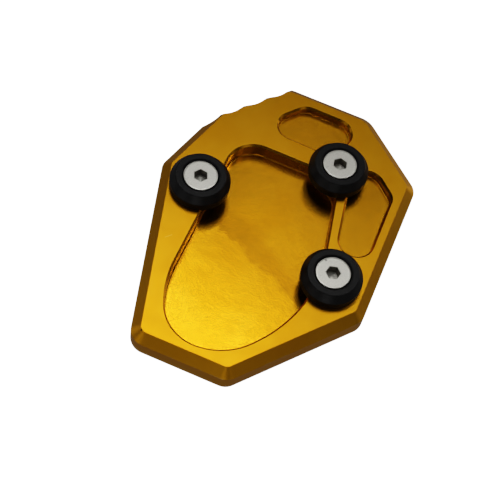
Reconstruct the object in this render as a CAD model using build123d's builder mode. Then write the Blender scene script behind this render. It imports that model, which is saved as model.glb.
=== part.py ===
from build123d import *
import math
import os

# Kickstand foot enlarger: a milled base plate with a deep pocket shaped to the
# foot, two lightening pockets, a scalloped edge, and three clamp discs held by
# countersunk hex-socket screws.  Millimetres, +Z up, origin in the middle of
# the underside of the plate.

# ---- driving dimensions ------------------------------------------------------
PLATE_T = 9.0            # plate thickness
TOP_CHAMFER = 3.15       # wide 45 degree chamfer round the top of the plate
UNDER_CHAMFER = 0.4      # edge break round the underside
RIM_BREAK = 0.65         # chamfer round the mouths of the pockets
FLOOR_FILLET = 0.4       # cutter corner left at the foot of the pocket walls
FOOT_DEPTH = 5.5         # depth of the pocket that takes the stand's foot
LIGHT_DEPTH = 3.0        # depth of the two lightening pockets

# rounded corners of the plate outline, counter-clockwise: x, y, radius
OUTLINE = [
    (-49.89, -19.00, 6.0),
    (-33.38, -39.84, 5.25),
    (11.26, -39.09, 6.0),
    (49.88, -6.68, 6.0),
    (48.13, 19.48, 7.75),
    (32.34, 39.46, 7.0),
    (7.52, 46.77, 0.0),
    (-15.90, 31.29, 5.0),
]

# row of scallops along the far edge
SCALLOP_R = 10.0
SCALLOPS = [(2.88, 53.20), (12.00, 53.09), (21.11, 52.98), (30.23, 52.87)]

# mouths of the pockets as belts round circles, counter-clockwise: x, y, radius;
# the wall below the rim chamfer stands RIM_BREAK inside this line
FOOT_POCKET = [
    (-9.02, -29.79, 37.53),
    (-29.11, -20.65, 15.47),
    (-24.39, -16.50, 21.72),
    (-23.69, 9.69, 47.90),
    (-12.21, -12.67, 22.79),
    (6.51, -15.65, 8.50),
    (21.99, 0.60, 6.46),
    (21.65, 8.95, 5.97),
    (7.45, 18.80, 10.61),
]
UPPER_POCKET = [
    (36.52, 19.28, 5.95),
    (40.39, 21.21, 6.37),
    (33.93, 29.47, 6.09),
    (28.61, 29.46, 6.07),
]
RIGHT_POCKET = [
    (25.46, -19.46, 6.36),
    (41.41, -8.02, 4.65),
    (39.75, -2.34, 6.44),
]

# screw positions: x, y, and the angle at which each hex socket stopped
SCREWS = {
    "left": (-12.49, 21.25, 2.5),
    "upper": (32.83, 6.34, 52.5),
    "lower": (10.07, -28.90, 27.0),
}
HOLE_R = 3.05            # M6 tapped hole, thread not cut
HOLE_LEAD = 0.5

DISC_R = 10.25
DISC_T = 6.0
DISC_TOP_R = 8.5         # flat ring on top, before the steep outer cone
DISC_SIDE_H = 3.2        # height of the straight side
DISC_EDGE = 0.4
DISC_SOFT = 0.35         # softened shoulder between top ring, cone and side
SINK_R = 6.5             # mouth of the 90 degree countersink
SINK_BREAK = 0.12
CLEAR_R = 3.3            # clearance hole

HEAD_R = 5.8             # M6 countersunk head
HEAD_LAND = 0.5
HEAD_SUNK = 0.2          # head sits this far below the face of the disc
SHANK_R = 3.0
SCREW_LEN = 12.0
TIP_CHAMFER = 0.8
HEX_AF = 4.2             # across flats of the socket
HEX_DEPTH = 3.3
HEX_CONE = 0.7           # shallow cone in the floor of the socket
HEX_BREAK = 0.12         # edge break round the mouth of the socket


def belt(circles):
    """Tangent points of a closed belt round circles, counter-clockwise."""
    runs = []
    n = len(circles)
    for i in range(n):
        x1, y1, r1 = circles[i]
        x2, y2, r2 = circles[(i + 1) % n]
        dist = math.hypot(x2 - x1, y2 - y1)
        a = math.atan2(y2 - y1, x2 - x1) - math.acos((r1 - r2) / dist)
        runs.append((a, (x1 + r1 * math.cos(a), y1 + r1 * math.sin(a)),
                     (x2 + r2 * math.cos(a), y2 + r2 * math.sin(a))))
    return runs


def draw_belt(circles, inset=0.0):
    """Lines and arcs of the belt, drawn into the current BuildLine."""
    if inset:
        circles = [(x, y, r - inset) for x, y, r in circles]
    runs = belt(circles)
    n = len(circles)
    for i in range(n):
        a0, _, p_in = runs[i - 1]
        a1, p_out, p_next = runs[i]
        x, y, r = circles[i]
        if r > 0:
            turn = (a1 - a0) % (2 * math.pi)
            mid = a0 + turn / 2
            ThreePointArc(p_in, (x + r * math.cos(mid), y + r * math.sin(mid)), p_out)
        Line(p_out, p_next)


os.makedirs("parts", exist_ok=True)

# ---- base plate --------------------------------------------------------------
with BuildPart() as base_plate:
    with BuildSketch():
        with BuildLine():
            draw_belt(OUTLINE)
        make_face()
    extrude(amount=PLATE_T)
    chamfer(base_plate.faces().sort_by(Axis.Z)[-1].edges(), length=TOP_CHAMFER)

    # scallops: round cutter run down through the edge
    with BuildSketch():
        with Locations(*SCALLOPS):
            Circle(SCALLOP_R)
    extrude(amount=PLATE_T, mode=Mode.SUBTRACT)
    chamfer(base_plate.faces().sort_by(Axis.Z)[0].edges(), length=UNDER_CHAMFER)

    # pockets
    for outline, depth in (
        (FOOT_POCKET, FOOT_DEPTH),
        (UPPER_POCKET, LIGHT_DEPTH),
        (RIGHT_POCKET, LIGHT_DEPTH),
    ):
        with BuildSketch(Plane.XY.offset(PLATE_T)):
            with BuildLine():
                draw_belt(outline, RIM_BREAK)
            make_face()
        extrude(amount=-depth, mode=Mode.SUBTRACT)
        cut = base_plate.edges(Select.LAST)
        floor = cut.filter_by_position(Axis.Z, PLATE_T - depth - 0.01, PLATE_T - depth + 0.01)
        fillet(floor, radius=FLOOR_FILLET)
        xs = [c[0] for c in outline]
        ys = [c[1] for c in outline]
        wires = base_plate.faces().sort_by(Axis.Z)[-1].inner_wires()
        rim = wires.sort_by_distance((sum(xs) / len(xs), sum(ys) / len(ys), PLATE_T))[0]
        chamfer(rim.edges(), length=RIM_BREAK)

    # tapped holes for the clamp screws
    for x, y, _ in SCREWS.values():
        with Locations((x, y, PLATE_T)):
            Hole(radius=HOLE_R, depth=PLATE_T)
        with Locations((x, y, HOLE_LEAD / 2)):
            Cone(HOLE_R + HOLE_LEAD, HOLE_R, HOLE_LEAD, mode=Mode.SUBTRACT)

base_plate.part.label = "base_plate"
export_step(base_plate.part, "parts/base_plate.step")

# ---- clamp discs and their screws --------------------------------------------
for side, (sx, sy, turn) in SCREWS.items():
    with BuildPart() as clamp_disc:
        with BuildSketch(Plane.XZ):
            with BuildLine():
                Polyline(
                    (CLEAR_R, 0),
                    (DISC_R - DISC_EDGE, 0),
                    (DISC_R, DISC_EDGE),
                    (DISC_R, DISC_SIDE_H),
                    (DISC_TOP_R, DISC_T),
                    (SINK_R, DISC_T),
                    (CLEAR_R, DISC_T - (SINK_R - CLEAR_R)),
                    close=True,
                )
            make_face()
        revolve(axis=Axis.Z)
        rings = clamp_disc.edges().filter_by(GeomType.CIRCLE)
        fillet([e for e in rings if e.radius > DISC_TOP_R - 0.01 and e.center().Z > DISC_EDGE + 0.01], radius=DISC_SOFT)
        rings = clamp_disc.edges().filter_by(GeomType.CIRCLE)
        fillet([e for e in rings if abs(e.radius - SINK_R) < 0.01], radius=SINK_BREAK)
    disc = clamp_disc.part.moved(Location((sx, sy, PLATE_T)))
    disc.label = "clamp_disc_" + side
    export_step(disc, "parts/clamp_disc_" + side + ".step")

    head_h = HEAD_LAND + HEAD_R - SHANK_R
    with BuildPart() as clamp_screw:
        with BuildSketch(Plane.XZ):
            with BuildLine():
                Polyline(
                    (0, 0),
                    (HEAD_R - 0.15, 0),
                    (HEAD_R, -0.15),
                    (HEAD_R, -HEAD_LAND),
                    (SHANK_R, -head_h),
                    (SHANK_R, -SCREW_LEN + TIP_CHAMFER),
                    (SHANK_R - TIP_CHAMFER, -SCREW_LEN),
                    (0, -SCREW_LEN),
                    close=True,
                )
            make_face()
        revolve(axis=Axis.Z)
        # hex socket with a shallow cone in its floor
        with BuildSketch(Plane.XY.offset(-HEX_DEPTH)):
            RegularPolygon(radius=HEX_AF / 2, side_count=6, major_radius=False, rotation=turn)
        extrude(amount=HEX_DEPTH, mode=Mode.SUBTRACT)
        mouth = clamp_screw.edges(Select.LAST).filter_by_position(Axis.Z, -0.01, 0.01)
        chamfer(mouth.filter_by(GeomType.LINE), length=HEX_BREAK)
        with Locations((0, 0, -HEX_DEPTH - HEX_CONE / 2)):
            Cone(0.05, HEX_AF / 2 - 0.1, HEX_CONE, mode=Mode.SUBTRACT)
    screw = clamp_screw.part.moved(Location((sx, sy, PLATE_T + DISC_T - HEAD_SUNK)))
    screw.label = "clamp_screw_" + side
    export_step(screw, "parts/clamp_screw_" + side + ".step")
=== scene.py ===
import math

import bmesh
import bpy
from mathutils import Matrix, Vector


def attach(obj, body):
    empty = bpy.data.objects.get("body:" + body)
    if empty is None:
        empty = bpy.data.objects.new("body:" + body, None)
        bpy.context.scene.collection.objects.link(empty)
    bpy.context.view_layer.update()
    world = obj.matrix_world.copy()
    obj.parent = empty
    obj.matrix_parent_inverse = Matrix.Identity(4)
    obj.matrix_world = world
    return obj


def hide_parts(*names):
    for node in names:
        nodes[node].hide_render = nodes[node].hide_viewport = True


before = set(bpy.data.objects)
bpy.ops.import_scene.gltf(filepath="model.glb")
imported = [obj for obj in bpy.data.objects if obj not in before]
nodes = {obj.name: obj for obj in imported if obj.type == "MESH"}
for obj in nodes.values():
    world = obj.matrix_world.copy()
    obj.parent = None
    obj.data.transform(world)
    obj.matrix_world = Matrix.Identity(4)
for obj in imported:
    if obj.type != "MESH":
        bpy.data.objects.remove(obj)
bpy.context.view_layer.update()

MM = 0.001
PLATE_TOP = 9.0
CHAMFER_FOOT = 5.85
SCREWS = {  # x, y in millimetres, turn of the hex socket in degrees
    "left": (-12.49, 21.25, 2.5),
    "upper": (32.83, 6.34, 52.5),
    "lower": (10.07, -28.90, 27.0),
}


# outer outline of the plate: x, y, radius of its rounded corners
OUTLINE = [
    (-49.89, -19.00, 6.0), (-33.38, -39.84, 5.25), (11.26, -39.09, 6.0), (49.88, -6.68, 6.0),
    (48.13, 19.48, 7.75), (32.34, 39.46, 7.0), (7.52, 46.77, 0.0), (-15.90, 31.29, 5.0),
]


def outline_planes():
    """Outward direction and distance of each straight side of the plate."""
    planes = []
    for (x1, y1, r1), (x2, y2, r2) in zip(OUTLINE, OUTLINE[1:] + OUTLINE[:1]):
        turn = math.acos((r1 - r2) / math.hypot(x2 - x1, y2 - y1))
        a = math.atan2(y2 - y1, x2 - x1) - turn
        planes.append((math.cos(a), math.sin(a), x1 * math.cos(a) + y1 * math.sin(a) + r1))
    return planes


# ---------------------------------------------------------------- node helpers
class Mat:
    """A small helper for building one node material."""

    def __init__(self, name):
        self.m = bpy.data.materials.new(name)
        self.m.use_nodes = True
        self.t = self.m.node_tree
        self.t.nodes.clear()
        self.out = self.n("ShaderNodeOutputMaterial")
        self.b = self.n("ShaderNodeBsdfPrincipled")
        self.link(self.b.outputs[0], self.out.inputs[0])
        self.obj = self.n("ShaderNodeTexCoord").outputs["Object"]

    def n(self, kind, **props):
        node = self.t.nodes.new(kind)
        for k, v in props.items():
            setattr(node, k, v)
        return node

    def link(self, a, b):
        self.t.links.new(a, b)

    def put(self, sock, v):
        if isinstance(v, bpy.types.NodeSocket):
            self.link(v, sock)
        else:
            sock.default_value = v

    def math(self, op, a, b=0.0, c=0.0, clamp=False):
        node = self.n("ShaderNodeMath", operation=op, use_clamp=clamp)
        for i, v in enumerate((a, b, c)):
            if i < len(node.inputs):
                self.put(node.inputs[i], v)
        return node.outputs[0]

    def mul(self, *vals):
        out = vals[0]
        for v in vals[1:]:
            out = self.math("MULTIPLY", out, v)
        return out

    def mix(self, fac, a, b):
        node = self.n("ShaderNodeMix", data_type="RGBA")
        self.put(node.inputs[0], fac)
        self.put(node.inputs[6], a if isinstance(a, bpy.types.NodeSocket) else (*a, 1.0)[:4])
        self.put(node.inputs[7], b if isinstance(b, bpy.types.NodeSocket) else (*b, 1.0)[:4])
        return node.outputs[2]

    def mixf(self, fac, a, b):
        node = self.n("ShaderNodeMix", data_type="FLOAT")
        self.put(node.inputs[0], fac)
        self.put(node.inputs[2], a)
        self.put(node.inputs[3], b)
        return node.outputs[0]

    def ramp(self, v, lo, hi, to_lo=0.0, to_hi=1.0, smooth=True):
        node = self.n("ShaderNodeMapRange", interpolation_type="SMOOTHSTEP" if smooth else "LINEAR")
        self.put(node.inputs[0], v)
        for i, x in enumerate((lo, hi, to_lo, to_hi)):
            self.put(node.inputs[i + 1], x)
        return node.outputs[0]

    def near(self, v, middle, half, soft):
        """1 where v is within half of middle, falling to 0 over soft."""
        gap = self.math("ABSOLUTE", self.math("SUBTRACT", v, middle))
        return self.ramp(gap, half, half + soft, 1.0, 0.0)

    def noise(self, vec, scale, detail=2.0, rough=0.5, distort=0.0):
        node = self.n("ShaderNodeTexNoise")
        self.put(node.inputs["Vector"], vec)
        self.put(node.inputs["Scale"], scale)
        self.put(node.inputs["Detail"], detail)
        self.put(node.inputs["Roughness"], rough)
        self.put(node.inputs["Distortion"], distort)
        return node.outputs[0]

    def mapping(self, vec, loc=(0, 0, 0), rot=(0, 0, 0), scale=(1, 1, 1)):
        node = self.n("ShaderNodeMapping")
        self.put(node.inputs[0], vec)
        self.put(node.inputs[1], loc)
        self.put(node.inputs[2], rot)
        self.put(node.inputs[3], scale)
        return node.outputs[0]

    def split(self, vec):
        node = self.n("ShaderNodeSeparateXYZ")
        self.put(node.inputs[0], vec)
        return node.outputs

    def join(self, x, y, z):
        node = self.n("ShaderNodeCombineXYZ")
        for i, v in enumerate((x, y, z)):
            self.put(node.inputs[i], v)
        return node.outputs[0]

    def stroke(self, x, y, x1, y1, x2, y2, half, soft):
        """1 on a straight stroke between two points in millimetres."""
        far = math.hypot(x2 - x1, y2 - y1)
        ux, uy = (x2 - x1) / far, (y2 - y1) / far
        dx, dy = self.math("SUBTRACT", x, x1 * MM), self.math("SUBTRACT", y, y1 * MM)
        along = self.math("ADD", self.mul(dx, ux), self.mul(dy, uy))
        across = self.math("SUBTRACT", self.mul(dy, ux), self.mul(dx, uy))
        run = self.near(along, far / 2 * MM, far / 2 * MM, 0.3 * MM)
        return self.mul(run, self.near(across, 0.0, half * MM, soft * MM))

    def length(self, x, y):
        return self.math("SQRT", self.math("ADD", self.mul(x, x), self.mul(y, y)))

    def bump(self, height, distance, normal=None, strength=1.0):
        node = self.n("ShaderNodeBump")
        self.put(node.inputs["Strength"], strength)
        self.put(node.inputs["Distance"], distance)
        self.put(node.inputs["Height"], height)
        if normal is not None:
            self.put(node.inputs["Normal"], normal)
        return node.outputs[0]

    def normal(self):
        geo = self.n("ShaderNodeNewGeometry")
        return self.split(geo.outputs["True Normal"])


def set_material(obj, mat):
    obj.data.materials.clear()
    obj.data.materials.append(mat)
    for p in obj.data.polygons:
        p.material_index = 0


# ------------------------------------------------------------------- materials
ROUGH_TOP, ROUGH_FLOOR, ROUGH_SIDE, ROUGH_WALL = 0.33, 0.22, 0.40, 0.26


def gold():
    """Gold anodised aluminium: fine blasted top, milled pocket floors."""
    m = Mat("gold_anodised")
    b = m.b
    nz = m.normal()[2]
    x, y, z = m.split(m.obj)
    up = m.ramp(nz, 0.97, 0.995)
    floor = m.mul(up, m.ramp(z, 7.0 * MM, 8.0 * MM, 1.0, 0.0))
    top = m.mul(up, m.ramp(z, 8.0 * MM, 8.8 * MM))
    side = m.math("SUBTRACT", 1.0, up, clamp=True)
    # pocket walls and rims: every side face that lies well within the outline
    edge = None
    for px, py, far in outline_planes():
        gap = m.math("SUBTRACT", m.math("ADD", m.mul(x, px), m.mul(y, py)), far * MM)
        edge = gap if edge is None else m.math("MAXIMUM", edge, gap)
    wall = m.mul(side, m.ramp(edge, -3.30 * MM, -3.22 * MM, 1.0, 0.0))

    # colour: dye takes a little unevenly, milled floors a touch paler
    cloud = m.noise(m.obj, 55.0, 3.0, 0.55)
    fine = m.noise(m.obj, 1500.0, 2.0, 0.6)
    tint = m.mix(m.ramp(cloud, 0.35, 0.65), (0.83, 0.365, 0.012), (0.87, 0.400, 0.016))
    tint = m.mix(m.mul(floor, m.ramp(fine, 0.40, 0.66, 0.0, 0.65)), tint, (0.75, 0.310, 0.010))
    # a darker patch across the foot pocket floor, ragged on its near side; its cause is not known
    drift = m.math("ADD", m.mul(x, 0.965), m.mul(y, 0.262))
    drift = m.math("SUBTRACT", drift, -10.37 * MM)
    ragged = m.math("SUBTRACT", m.noise(m.obj, 90.0, 5.0, 0.62), 0.5)
    drift = m.math("ADD", drift, m.mul(ragged, 14.0 * MM))
    dark_floor_patch = m.mul(floor, m.ramp(drift, -0.9 * MM, 1.1 * MM), m.ramp(drift, 2.0 * MM, 15.0 * MM, 1.0, 0.0))
    tint = m.mix(m.mul(dark_floor_patch, 0.70), tint, (0.55, 0.230, 0.009))
    # painted highlight: a pale hair line where chamfer meets side, broken along its run
    broken = m.ramp(m.noise(m.obj, 130.0, 4.0, 0.7), 0.50, 0.66)
    edge_highlight = m.mul(m.near(z, CHAMFER_FOOT * MM, 0.05 * MM, 0.10 * MM), side, broken)
    tint = m.mix(m.mul(edge_highlight, 0.55), tint, (0.90, 0.66, 0.25))
    # upright pocket walls: painted light, a paler tint standing in for floor light reflected onto them; chosen by its
    # look, the walls' own colour not known
    tint = m.mix(m.mul(wall, m.ramp(m.math("ABSOLUTE", nz), 0.2, 0.5, 1.0, 0.0)), tint, (0.90, 0.57, 0.08))
    # a short scratch on the top face
    scratch = m.mul(top, m.stroke(x, y, -31.77, 7.74, -29.44, 7.61, 0.06, 0.14))
    tint = m.mix(m.mul(scratch, 0.5), tint, (0.97, 0.62, 0.12))
    m.link(tint, b.inputs["Base Color"])
    b.inputs["Metallic"].default_value = 1.0

    # gloss
    patch = m.noise(m.obj, 160.0, 3.0, 0.6)
    rough = m.mixf(floor, m.mixf(top, m.mixf(wall, ROUGH_SIDE, ROUGH_WALL), ROUGH_TOP), ROUGH_FLOOR)
    rough = m.math("ADD", rough, m.ramp(patch, 0.3, 0.7, -0.02, 0.02, smooth=False))
    m.link(rough, b.inputs["Roughness"])

    # relief: mottled milling on the floors, softer grain elsewhere
    grain = m.noise(m.obj, 1150.0, 2.5, 0.55, 0.4)
    wave = m.noise(m.obj, 120.0, 2.0, 0.5)
    swirl = m.length(m.math("ADD", x, 20.0 * MM), m.math("ADD", y, 16.0 * MM))
    arcs = m.math("SINE", m.math("ADD", m.mul(swirl, 2 * math.pi / (0.95 * MM)), m.mul(wave, 9.0)))
    arcs = m.mul(arcs, m.ramp(m.noise(m.obj, 210.0, 2.0, 0.5), 0.45, 0.65))
    lines = m.noise(m.mapping(m.obj, rot=(0, 0, math.radians(33)), scale=(0.06, 1.0, 1.0)), 2600.0, 3.0, 0.6)
    height = m.mul(floor, m.math("ADD", m.mul(grain, 1.0), m.mul(arcs, 0.035)))
    n1 = m.bump(height, 0.017 * MM)
    n2 = m.bump(m.mul(floor, wave), 0.05 * MM, n1)
    n3 = m.bump(m.mul(m.mixf(floor, 1.0, 0.25), lines), 0.006 * MM, n2)
    n4 = m.bump(m.noise(m.obj, 3800.0, 2.0, 0.6), 0.004 * MM, n3)
    m.link(n4, b.inputs["Normal"])
    return m.m


def black(side):
    """Satin black anodised disc with faint turning rings about its own axis."""
    sx, sy, _ = SCREWS[side]
    m = Mat("black_anodised_" + side)
    b = m.b
    local = m.mapping(m.obj, loc=(-sx * MM, -sy * MM, 0))
    x, y, z = m.split(local)
    r = m.length(x, y)
    rings = m.noise(m.join(m.math("ADD", r, m.mul(z, 0.8)), 0.0, 0.0), 5200.0, 2.0, 0.6)
    grain = m.noise(local, 2300.0, 3.0, 0.6)
    dust = m.ramp(m.noise(local, 900.0, 4.0, 0.7), 0.62, 0.80)
    col = m.mix(m.ramp(m.noise(local, 140.0, 3.0, 0.6), 0.35, 0.65), (0.0030, 0.0030, 0.0033), (0.0055, 0.0053, 0.0053))
    col = m.mix(m.mul(dust, 0.15), col, (0.05, 0.048, 0.045))
    m.link(col, b.inputs["Base Color"])
    b.inputs["Specular IOR Level"].default_value = 0.40
    m.link(m.ramp(grain, 0.3, 0.7, 0.37, 0.47, smooth=False), b.inputs["Roughness"])
    n1 = m.bump(rings, 0.006 * MM)
    n2 = m.bump(grain, 0.008 * MM, n1)
    m.link(n2, b.inputs["Normal"])
    return m.m


def steel(nick=None):
    """Stainless screw, turned face, fine tumbled grain."""
    m = Mat("stainless_turned")
    b = m.b
    b.inputs["Metallic"].default_value = 1.0
    x, y, z = m.split(m.obj)
    nz = m.normal()[2]
    r = m.length(x, y)
    face = m.mul(m.ramp(nz, 0.9, 0.97), m.ramp(z, 14.5 * MM, 14.7 * MM))
    rings = m.noise(m.join(r, 0.0, 0.0), 4200.0, 2.0, 0.6)
    grain = m.noise(m.obj, 1900.0, 3.0, 0.65)
    spots = m.ramp(m.noise(m.obj, 620.0, 3.0, 0.7), 0.60, 0.76)
    tint = m.mix(m.ramp(grain, 0.3, 0.7), (0.75, 0.735, 0.665), (0.84, 0.825, 0.75))
    tint = m.mix(m.mul(spots, 0.25), tint, (0.52, 0.51, 0.48))
    # painted shade: socket walls darkened as shade in the recess; its floor duller through roughness; chosen by look
    steep = m.ramp(m.math("ABSOLUTE", nz), 0.15, 0.35, 1.0, 0.0)
    inside = m.mul(m.ramp(z, 14.62 * MM, 14.66 * MM, 1.0, 0.0), m.ramp(r, 2.6 * MM, 2.7 * MM, 1.0, 0.0), steep)
    tint = m.mix(inside, tint, (0.36, 0.345, 0.31))
    if nick:
        spot = m.length(m.math("SUBTRACT", x, nick[0] * MM), m.math("SUBTRACT", y, nick[1] * MM))
        dull = m.mul(face, m.ramp(spot, 0.15 * MM, 0.65 * MM, 1.0, 0.0))
        tint = m.mix(m.mul(dull, 0.8), tint, (0.26, 0.25, 0.22))
    m.link(tint, b.inputs["Base Color"])
    floor = m.mul(m.ramp(z, 11.6 * MM, 11.7 * MM, 1.0, 0.0), m.ramp(z, 10.7 * MM, 10.8 * MM))
    rough = m.mixf(face, m.mixf(floor, 0.30, 0.50), m.ramp(grain, 0.3, 0.7, 0.34, 0.44, smooth=False))
    m.link(rough, b.inputs["Roughness"])
    n1 = m.bump(m.mul(face, rings), 0.004 * MM)
    n2 = m.bump(grain, 0.006 * MM, n1)
    m.link(n2, b.inputs["Normal"])
    return m.m


GOLD, STEEL, NICKED = gold(), steel(), steel((0.08, 5.0))
set_material(nodes["base_plate"], GOLD)
for side in SCREWS:
    set_material(nodes["clamp_disc_" + side], black(side))

# ------------------------------------------------------------ screws, threads
PITCH = 1.0
ROWS = (0.0, 0.25, 0.5625, 0.6875)   # root start, root end, crest start, crest end


def thread_radius(f, root, crest):
    f = f % 1.0
    if f < 0.25:
        return root
    if f < 0.5625:
        return root + (crest - root) * (f - 0.25) / 0.3125
    if f < 0.6875:
        return crest
    return crest + (root - crest) * (f - 0.6875) / 0.3125


def thread_rows(n, z0, z1, limit):
    """Rings of a threaded wall: rows follow the helix and stop at z0 and z1."""
    rows = []
    k0 = math.floor(z0 / PITCH) - 1
    k1 = math.ceil(z1 / PITCH) + 1
    for k in range(k0, k1):
        for f in ROWS:
            ring = []
            for i in range(n):
                a = i / n
                z = min(max((k + f + a) * PITCH, z0), z1)
                ring.append((limit(z / PITCH - a, z), a * 2 * math.pi, z))
            if any(z0 < p[2] < z1 for p in ring) or not rows or k == k1 - 1:
                rows.append(ring)
    return rows


def bridge(bm, lower, upper):
    n = len(lower)
    for i in range(n):
        j = (i + 1) % n
        quad = [lower[i], lower[j], upper[j], upper[i]]
        if len({v.index for v in quad}) == 4:
            bm.faces.new(quad)


def add_ring(bm, pts):
    out = []
    for r, a, z in pts:
        v = bm.verts.new((r * math.cos(a) * MM, r * math.sin(a) * MM, z * MM))
        out.append(v)
    bm.verts.index_update()
    return out


def finish_piece(bm, name, side, mat, shade_angle=35):
    bmesh.ops.remove_doubles(bm, verts=bm.verts, dist=2e-7)
    bmesh.ops.dissolve_degenerate(bm, edges=bm.edges, dist=1e-7)
    bmesh.ops.recalc_face_normals(bm, faces=bm.faces)
    mesh = bpy.data.meshes.new(name)
    bm.to_mesh(mesh)
    bm.free()
    obj = bpy.data.objects.new(name, mesh)
    bpy.context.scene.collection.objects.link(obj)
    obj.location = (SCREWS[side][0] * MM, SCREWS[side][1] * MM, 0)
    for p in mesh.polygons:
        p.use_smooth = True
    mesh.set_sharp_from_angle(angle=math.radians(shade_angle))
    mesh.materials.append(mat)
    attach(obj, "root")
    return obj


def make_screw(side):
    """Countersunk hex-socket screw with a cut thread, head face at z 14.8."""
    n = 96
    turn = math.radians(SCREWS[side][2])
    top, head_r = 14.8, 5.8
    bm = bmesh.new()

    def shank(f, z):
        r = thread_radius(f, 2.45, 2.97)
        tip = 2.25 + (z - 2.8) * 1.0
        if z > 10.7:
            r = max(r, 2.45 + 0.5 * min(1.0, (z - 10.7) / 0.6))
        return min(r, tip)

    rows = thread_rows(n, 2.8, 11.4, shank)
    rings = [add_ring(bm, row) for row in rows]
    for a, b in zip(rings, rings[1:]):
        bridge(bm, a, b)
    tip = bm.verts.new((0, 0, 2.8 * MM))
    for i in range(n):
        bm.faces.new((tip, rings[0][(i + 1) % n], rings[0][i]))

    def circle(r, z):
        return add_ring(bm, [(r, i / n * 2 * math.pi, z) for i in range(n)])

    outer = [circle(2.98, 11.44), circle(3.02, 11.52)]
    outer += [circle(head_r - 0.04, top - 0.54), circle(head_r, top - 0.48), circle(head_r, top - 0.20)]
    outer += [circle(head_r - 0.035, top - 0.09), circle(head_r - 0.10, top - 0.03), circle(head_r - 0.19, top)]
    outer += [circle(head_r - 0.6, top), circle(3.6, top)]
    chain = [rings[-1]] + outer

    # hex socket: each of the six flats is a run of 16 points
    def hexr(i, af):
        a = (i / n * 360.0) % 60.0 - 30.0
        return af / 2 / math.cos(math.radians(a))

    def hex_ring(af, z_of, turned=True):
        pts = []
        for i in range(n):
            r = hexr(i, af)
            pts.append((r, i / n * 2 * math.pi + turn, z_of(r)))
        return pts

    af, brk, deep = 4.2, 0.12, 3.3
    mouth = add_ring(bm, hex_ring(af + 2 * brk, lambda r: top))
    wall_top = add_ring(bm, hex_ring(af, lambda r: top - brk))
    wall_foot = add_ring(bm, hex_ring(af, lambda r: top - deep))
    drill = add_ring(bm, [(2.0, i / n * 2 * math.pi + turn, top - deep) for i in range(n)])
    drill_in = add_ring(bm, [(1.0, i / n * 2 * math.pi + turn, top - deep - 0.35) for i in range(n)])
    # match the turned socket rings to the head rings by nearest angle
    shift = round(math.degrees(turn) / (360.0 / n))
    mouth = mouth[-shift % n:] + mouth[:-shift % n] if shift else mouth
    chain.append(mouth)
    for a, b in zip(chain, chain[1:]):
        bridge(bm, a, b)
    mouth = mouth[shift % n:] + mouth[:shift % n] if shift else mouth
    for a, b in zip((mouth, wall_top, wall_foot, drill), (wall_top, wall_foot, drill, drill_in)):
        bridge(bm, a, b)
    pit = bm.verts.new((0, 0, (top - deep - 0.7) * MM))
    for i in range(n):
        bm.faces.new((pit, drill_in[i], drill_in[(i + 1) % n]))
    obj = finish_piece(bm, "screw_" + side, side, NICKED if side == "lower" else STEEL, 28)
    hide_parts("clamp_screw_" + side)
    return obj


def make_tapped_hole(side):
    """The thread cut in the plate, a sleeve just inside the drilled hole."""
    n = 64
    bm = bmesh.new()

    def bore(f, z):
        return max(thread_radius(f, 2.52, 3.03), min(3.045, 3.55 - z))

    rows = thread_rows(n, 0.505, 8.98, bore)
    rings = [add_ring(bm, row) for row in rows]
    low = add_ring(bm, [(3.08, i / n * 2 * math.pi, 0.505) for i in range(n)])
    high = add_ring(bm, [(3.08, i / n * 2 * math.pi, 8.98) for i in range(n)])
    chain = [low] + rings + [high, low]
    for a, b in zip(chain, chain[1:]):
        bridge(bm, a, b)
    return finish_piece(bm, "tapped_thread_" + side, side, GOLD, 28)


for side in SCREWS:
    make_screw(side)
    make_tapped_hole(side)

# ----------------------------------------------------------------------- stage
mesh = bpy.data.meshes.new("floor")
s = 3.0
mesh.from_pydata([(-s, -s, -0.00002), (s, -s, -0.00002), (s, s, -0.00002), (-s, s, -0.00002)], [], [(0, 1, 2, 3)])
floor = bpy.data.objects.new("floor", mesh)
bpy.context.scene.collection.objects.link(floor)
fm = Mat("pale_floor")
fm.b.inputs["Base Color"].default_value = (0.9, 0.9, 0.9, 1)
fm.b.inputs["Roughness"].default_value = 0.9
fm.b.inputs["Emission Color"].default_value = (1, 1, 1, 1)
fm.b.inputs["Emission Strength"].default_value = 1.8
set_material(floor, fm.m)
floor.visible_glossy = False
floor.visible_diffuse = False


def lamp(name, azimuth, elevation, size, radiance, color=(1, 1, 1)):
    """A round soft box a metre off, facing the object."""
    a, e = math.radians(azimuth), math.radians(elevation)
    pos = Vector((math.cos(a) * math.cos(e), math.sin(a) * math.cos(e), math.sin(e)))
    d = bpy.data.lights.new(name, "AREA")
    d.shape = "DISK"
    d.size = size
    d.energy = radiance * math.pi * math.pi * (size / 2) ** 2
    d.color = color
    o = bpy.data.objects.new(name, d)
    bpy.context.scene.collection.objects.link(o)
    o.location = pos
    o.rotation_mode = "QUATERNION"
    o.rotation_quaternion = (Vector((0, 0, 0.005)) - pos).to_track_quat("-Z", "Y")
    return o


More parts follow.
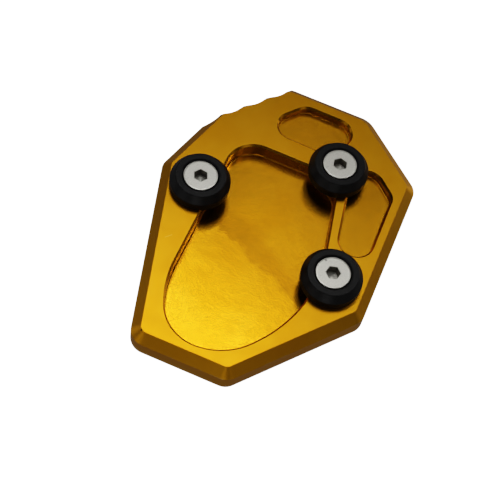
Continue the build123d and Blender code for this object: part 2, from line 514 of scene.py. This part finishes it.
# azimuth, elevation, diameter, brightness
LAMPS = [
    (69, 76, 0.13, 13.40),
    (48, 70, 0.13, 4.32),
    (69, 64, 0.13, 5.10),
    (27, 58, 0.13, 1.90),
    (6, 58, 0.13, 6.00),
    (6, 8, 0.55, 1.20),
    (300, 83, 0.16, 0.99),
    (231, 8, 0.55, 0.95),
    (150, 58, 0.20, 0.79),
    (48, 64, 0.13, 0.95),
    (96, 30, 0.50, 0.63),
    (48, 58, 0.13, 0.62),
    (310, 58, 0.20, 0.58),
    (48, 52, 0.13, 0.42),
    (186, 8, 0.55, 0.56),
    (190, 70, 0.20, 0.40),
    (141, 8, 0.55, 0.48),
    (276, 30, 0.50, 0.29),
    (321, 8, 0.55, 0.25),
    (186, 30, 0.50, 0.24),
    (190, 58, 0.20, 0.21),
    (-15, 52, 0.13, 0.18),
    (150, 70, 0.20, 0.16),
    (270, 58, 0.20, 0.15),
    (276, 8, 0.55, 0.12),
]
for i, l in enumerate(LAMPS):
    lamp("soft_box_%02d" % i, *l)

# the room: dim all round, a little brighter below, where the pale floor is
world = bpy.data.worlds.new("studio")
bpy.context.scene.world = world
world.use_nodes = True
wt = world.node_tree
bg = wt.nodes["Background"]
bg.inputs[0].default_value = (1, 1, 1, 1)
coord = wt.nodes.new("ShaderNodeTexCoord")
sep = wt.nodes.new("ShaderNodeSeparateXYZ")
wt.links.new(coord.outputs["Generated"], sep.inputs[0])
grade = wt.nodes.new("ShaderNodeMapRange")
grade.interpolation_type = "SMOOTHSTEP"
wt.links.new(sep.outputs[2], grade.inputs[0])
WORLD_LOW, WORLD_HIGH = 0.15, 0.02
for i, v in enumerate((-0.15, 0.15, WORLD_LOW, WORLD_HIGH)):
    grade.inputs[i + 1].default_value = v
wt.links.new(grade.outputs[0], bg.inputs[1])

# ---------------------------------------------------------------------- camera
cam_data = bpy.data.cameras.new("camera")
cam_data.sensor_width = 36.0
cam_data.lens = 88.7195
cam = bpy.data.objects.new("camera", cam_data)
bpy.context.scene.collection.objects.link(cam)
cam.location = (-0.134932, -0.162883, 0.358716)
cam.rotation_mode = "QUATERNION"
cam.rotation_quaternion = (0.9415921, 0.2304384, -0.1132150, -0.2179103)
cam_data.clip_start = 0.01
bpy.context.scene.camera = cam

# photographic response: a soft toe and shoulder
view = bpy.context.scene.view_settings
bpy.context.scene.display_settings.display_device = "sRGB"
view.view_transform = "Standard"
view.look = "None"
view.exposure = 0.0
view.gamma = 1.0
view.use_curve_mapping = True
cm = view.curve_mapping
cm.white_level = (4.0, 4.0, 4.0)
cm.use_clip = False
curve = cm.curves[3]
TONE_A, TONE_K, TONE_M = 1.3, 0.67, 1.3


def tone(x):
    return TONE_M * x**TONE_A / (x**TONE_A + TONE_K)


stops = [0.0, 0.01, 0.02, 0.04, 0.07, 0.12, 0.2, 0.3, 0.45, 0.65, 0.9, 1.2, 1.6, 2.1, 2.8, 4.0]
for i, x in enumerate(stops):
    p = (x / 4.0, tone(x) if x > 0 else 0.0)
    if i == 0:
        curve.points[0].location = p
    elif i == len(stops) - 1:
        curve.points[-1].location = p
    else:
        curve.points.new(*p)
cm.update()
